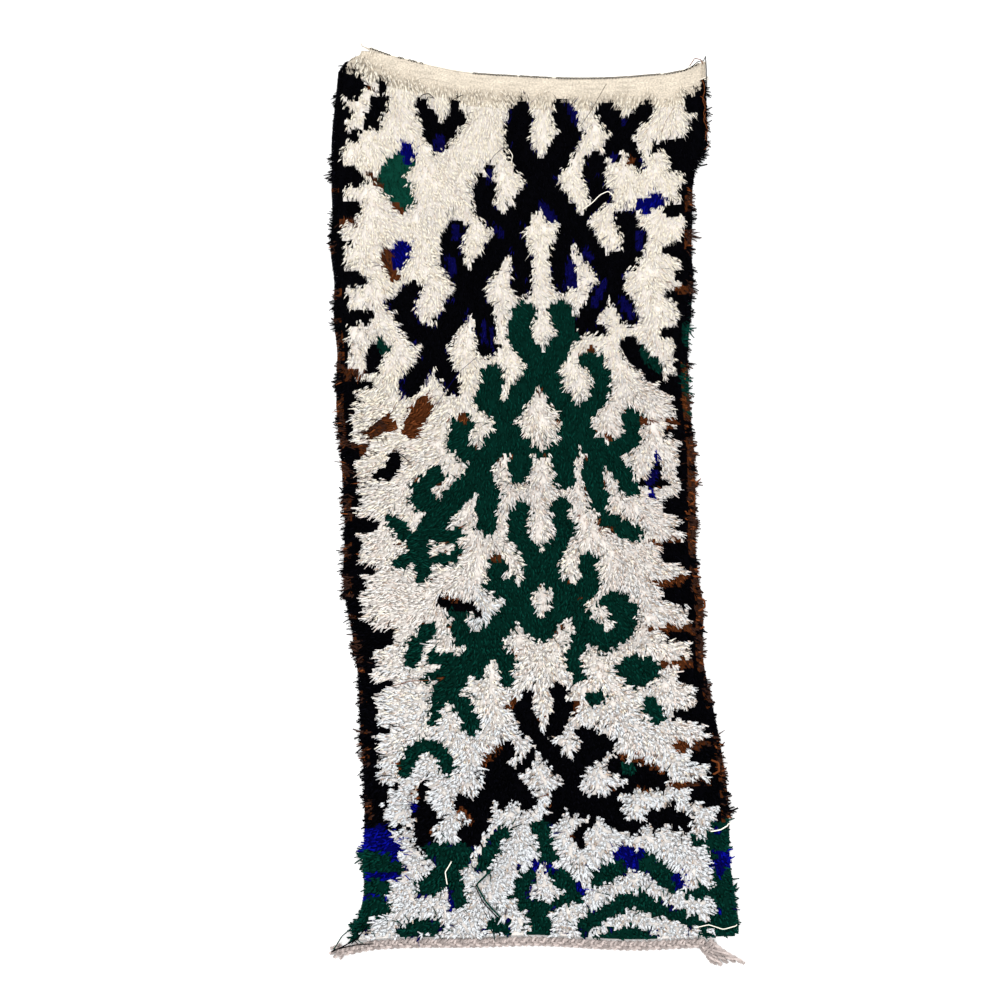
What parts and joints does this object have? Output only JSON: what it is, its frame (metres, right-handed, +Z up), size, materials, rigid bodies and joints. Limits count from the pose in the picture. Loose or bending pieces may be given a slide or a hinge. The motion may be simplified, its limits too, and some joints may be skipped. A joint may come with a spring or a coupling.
{
  "type": "berber rug",
  "caption": "Long narrow hand-knotted shag rug lying flat, with a flat-woven heading, overcast sides, a plaited end and a corner tassel.",
  "frame": {"origin": "middle of the rug's outline, on the floor it lies on", "axes": "+Y along the warp to the flat-woven heading, +X across to the right seen from above, +Z up through the pile"},
  "size_m": [1.0388, 2.2556, 0.0287],
  "materials": {
    "pile": "hand-spun wool shag, warm ivory with a black, bottle green and blue pattern",
    "overcast": "brown and black wool yarn wound round the side warps",
    "dark_yarn": "matte near-black wool yarn",
    "warp": "plied pale wool warp, slightly pink"
  },
  "bodies": {
    "root": {"rug_cloth": "pile", "selvedge_left": "overcast", "selvedge_right": "overcast", "heading_yarn": "dark_yarn", "end_plait": "warp", "end_tassel": "warp", "corner_strands": "warp"}
  },
  "joints": []
}
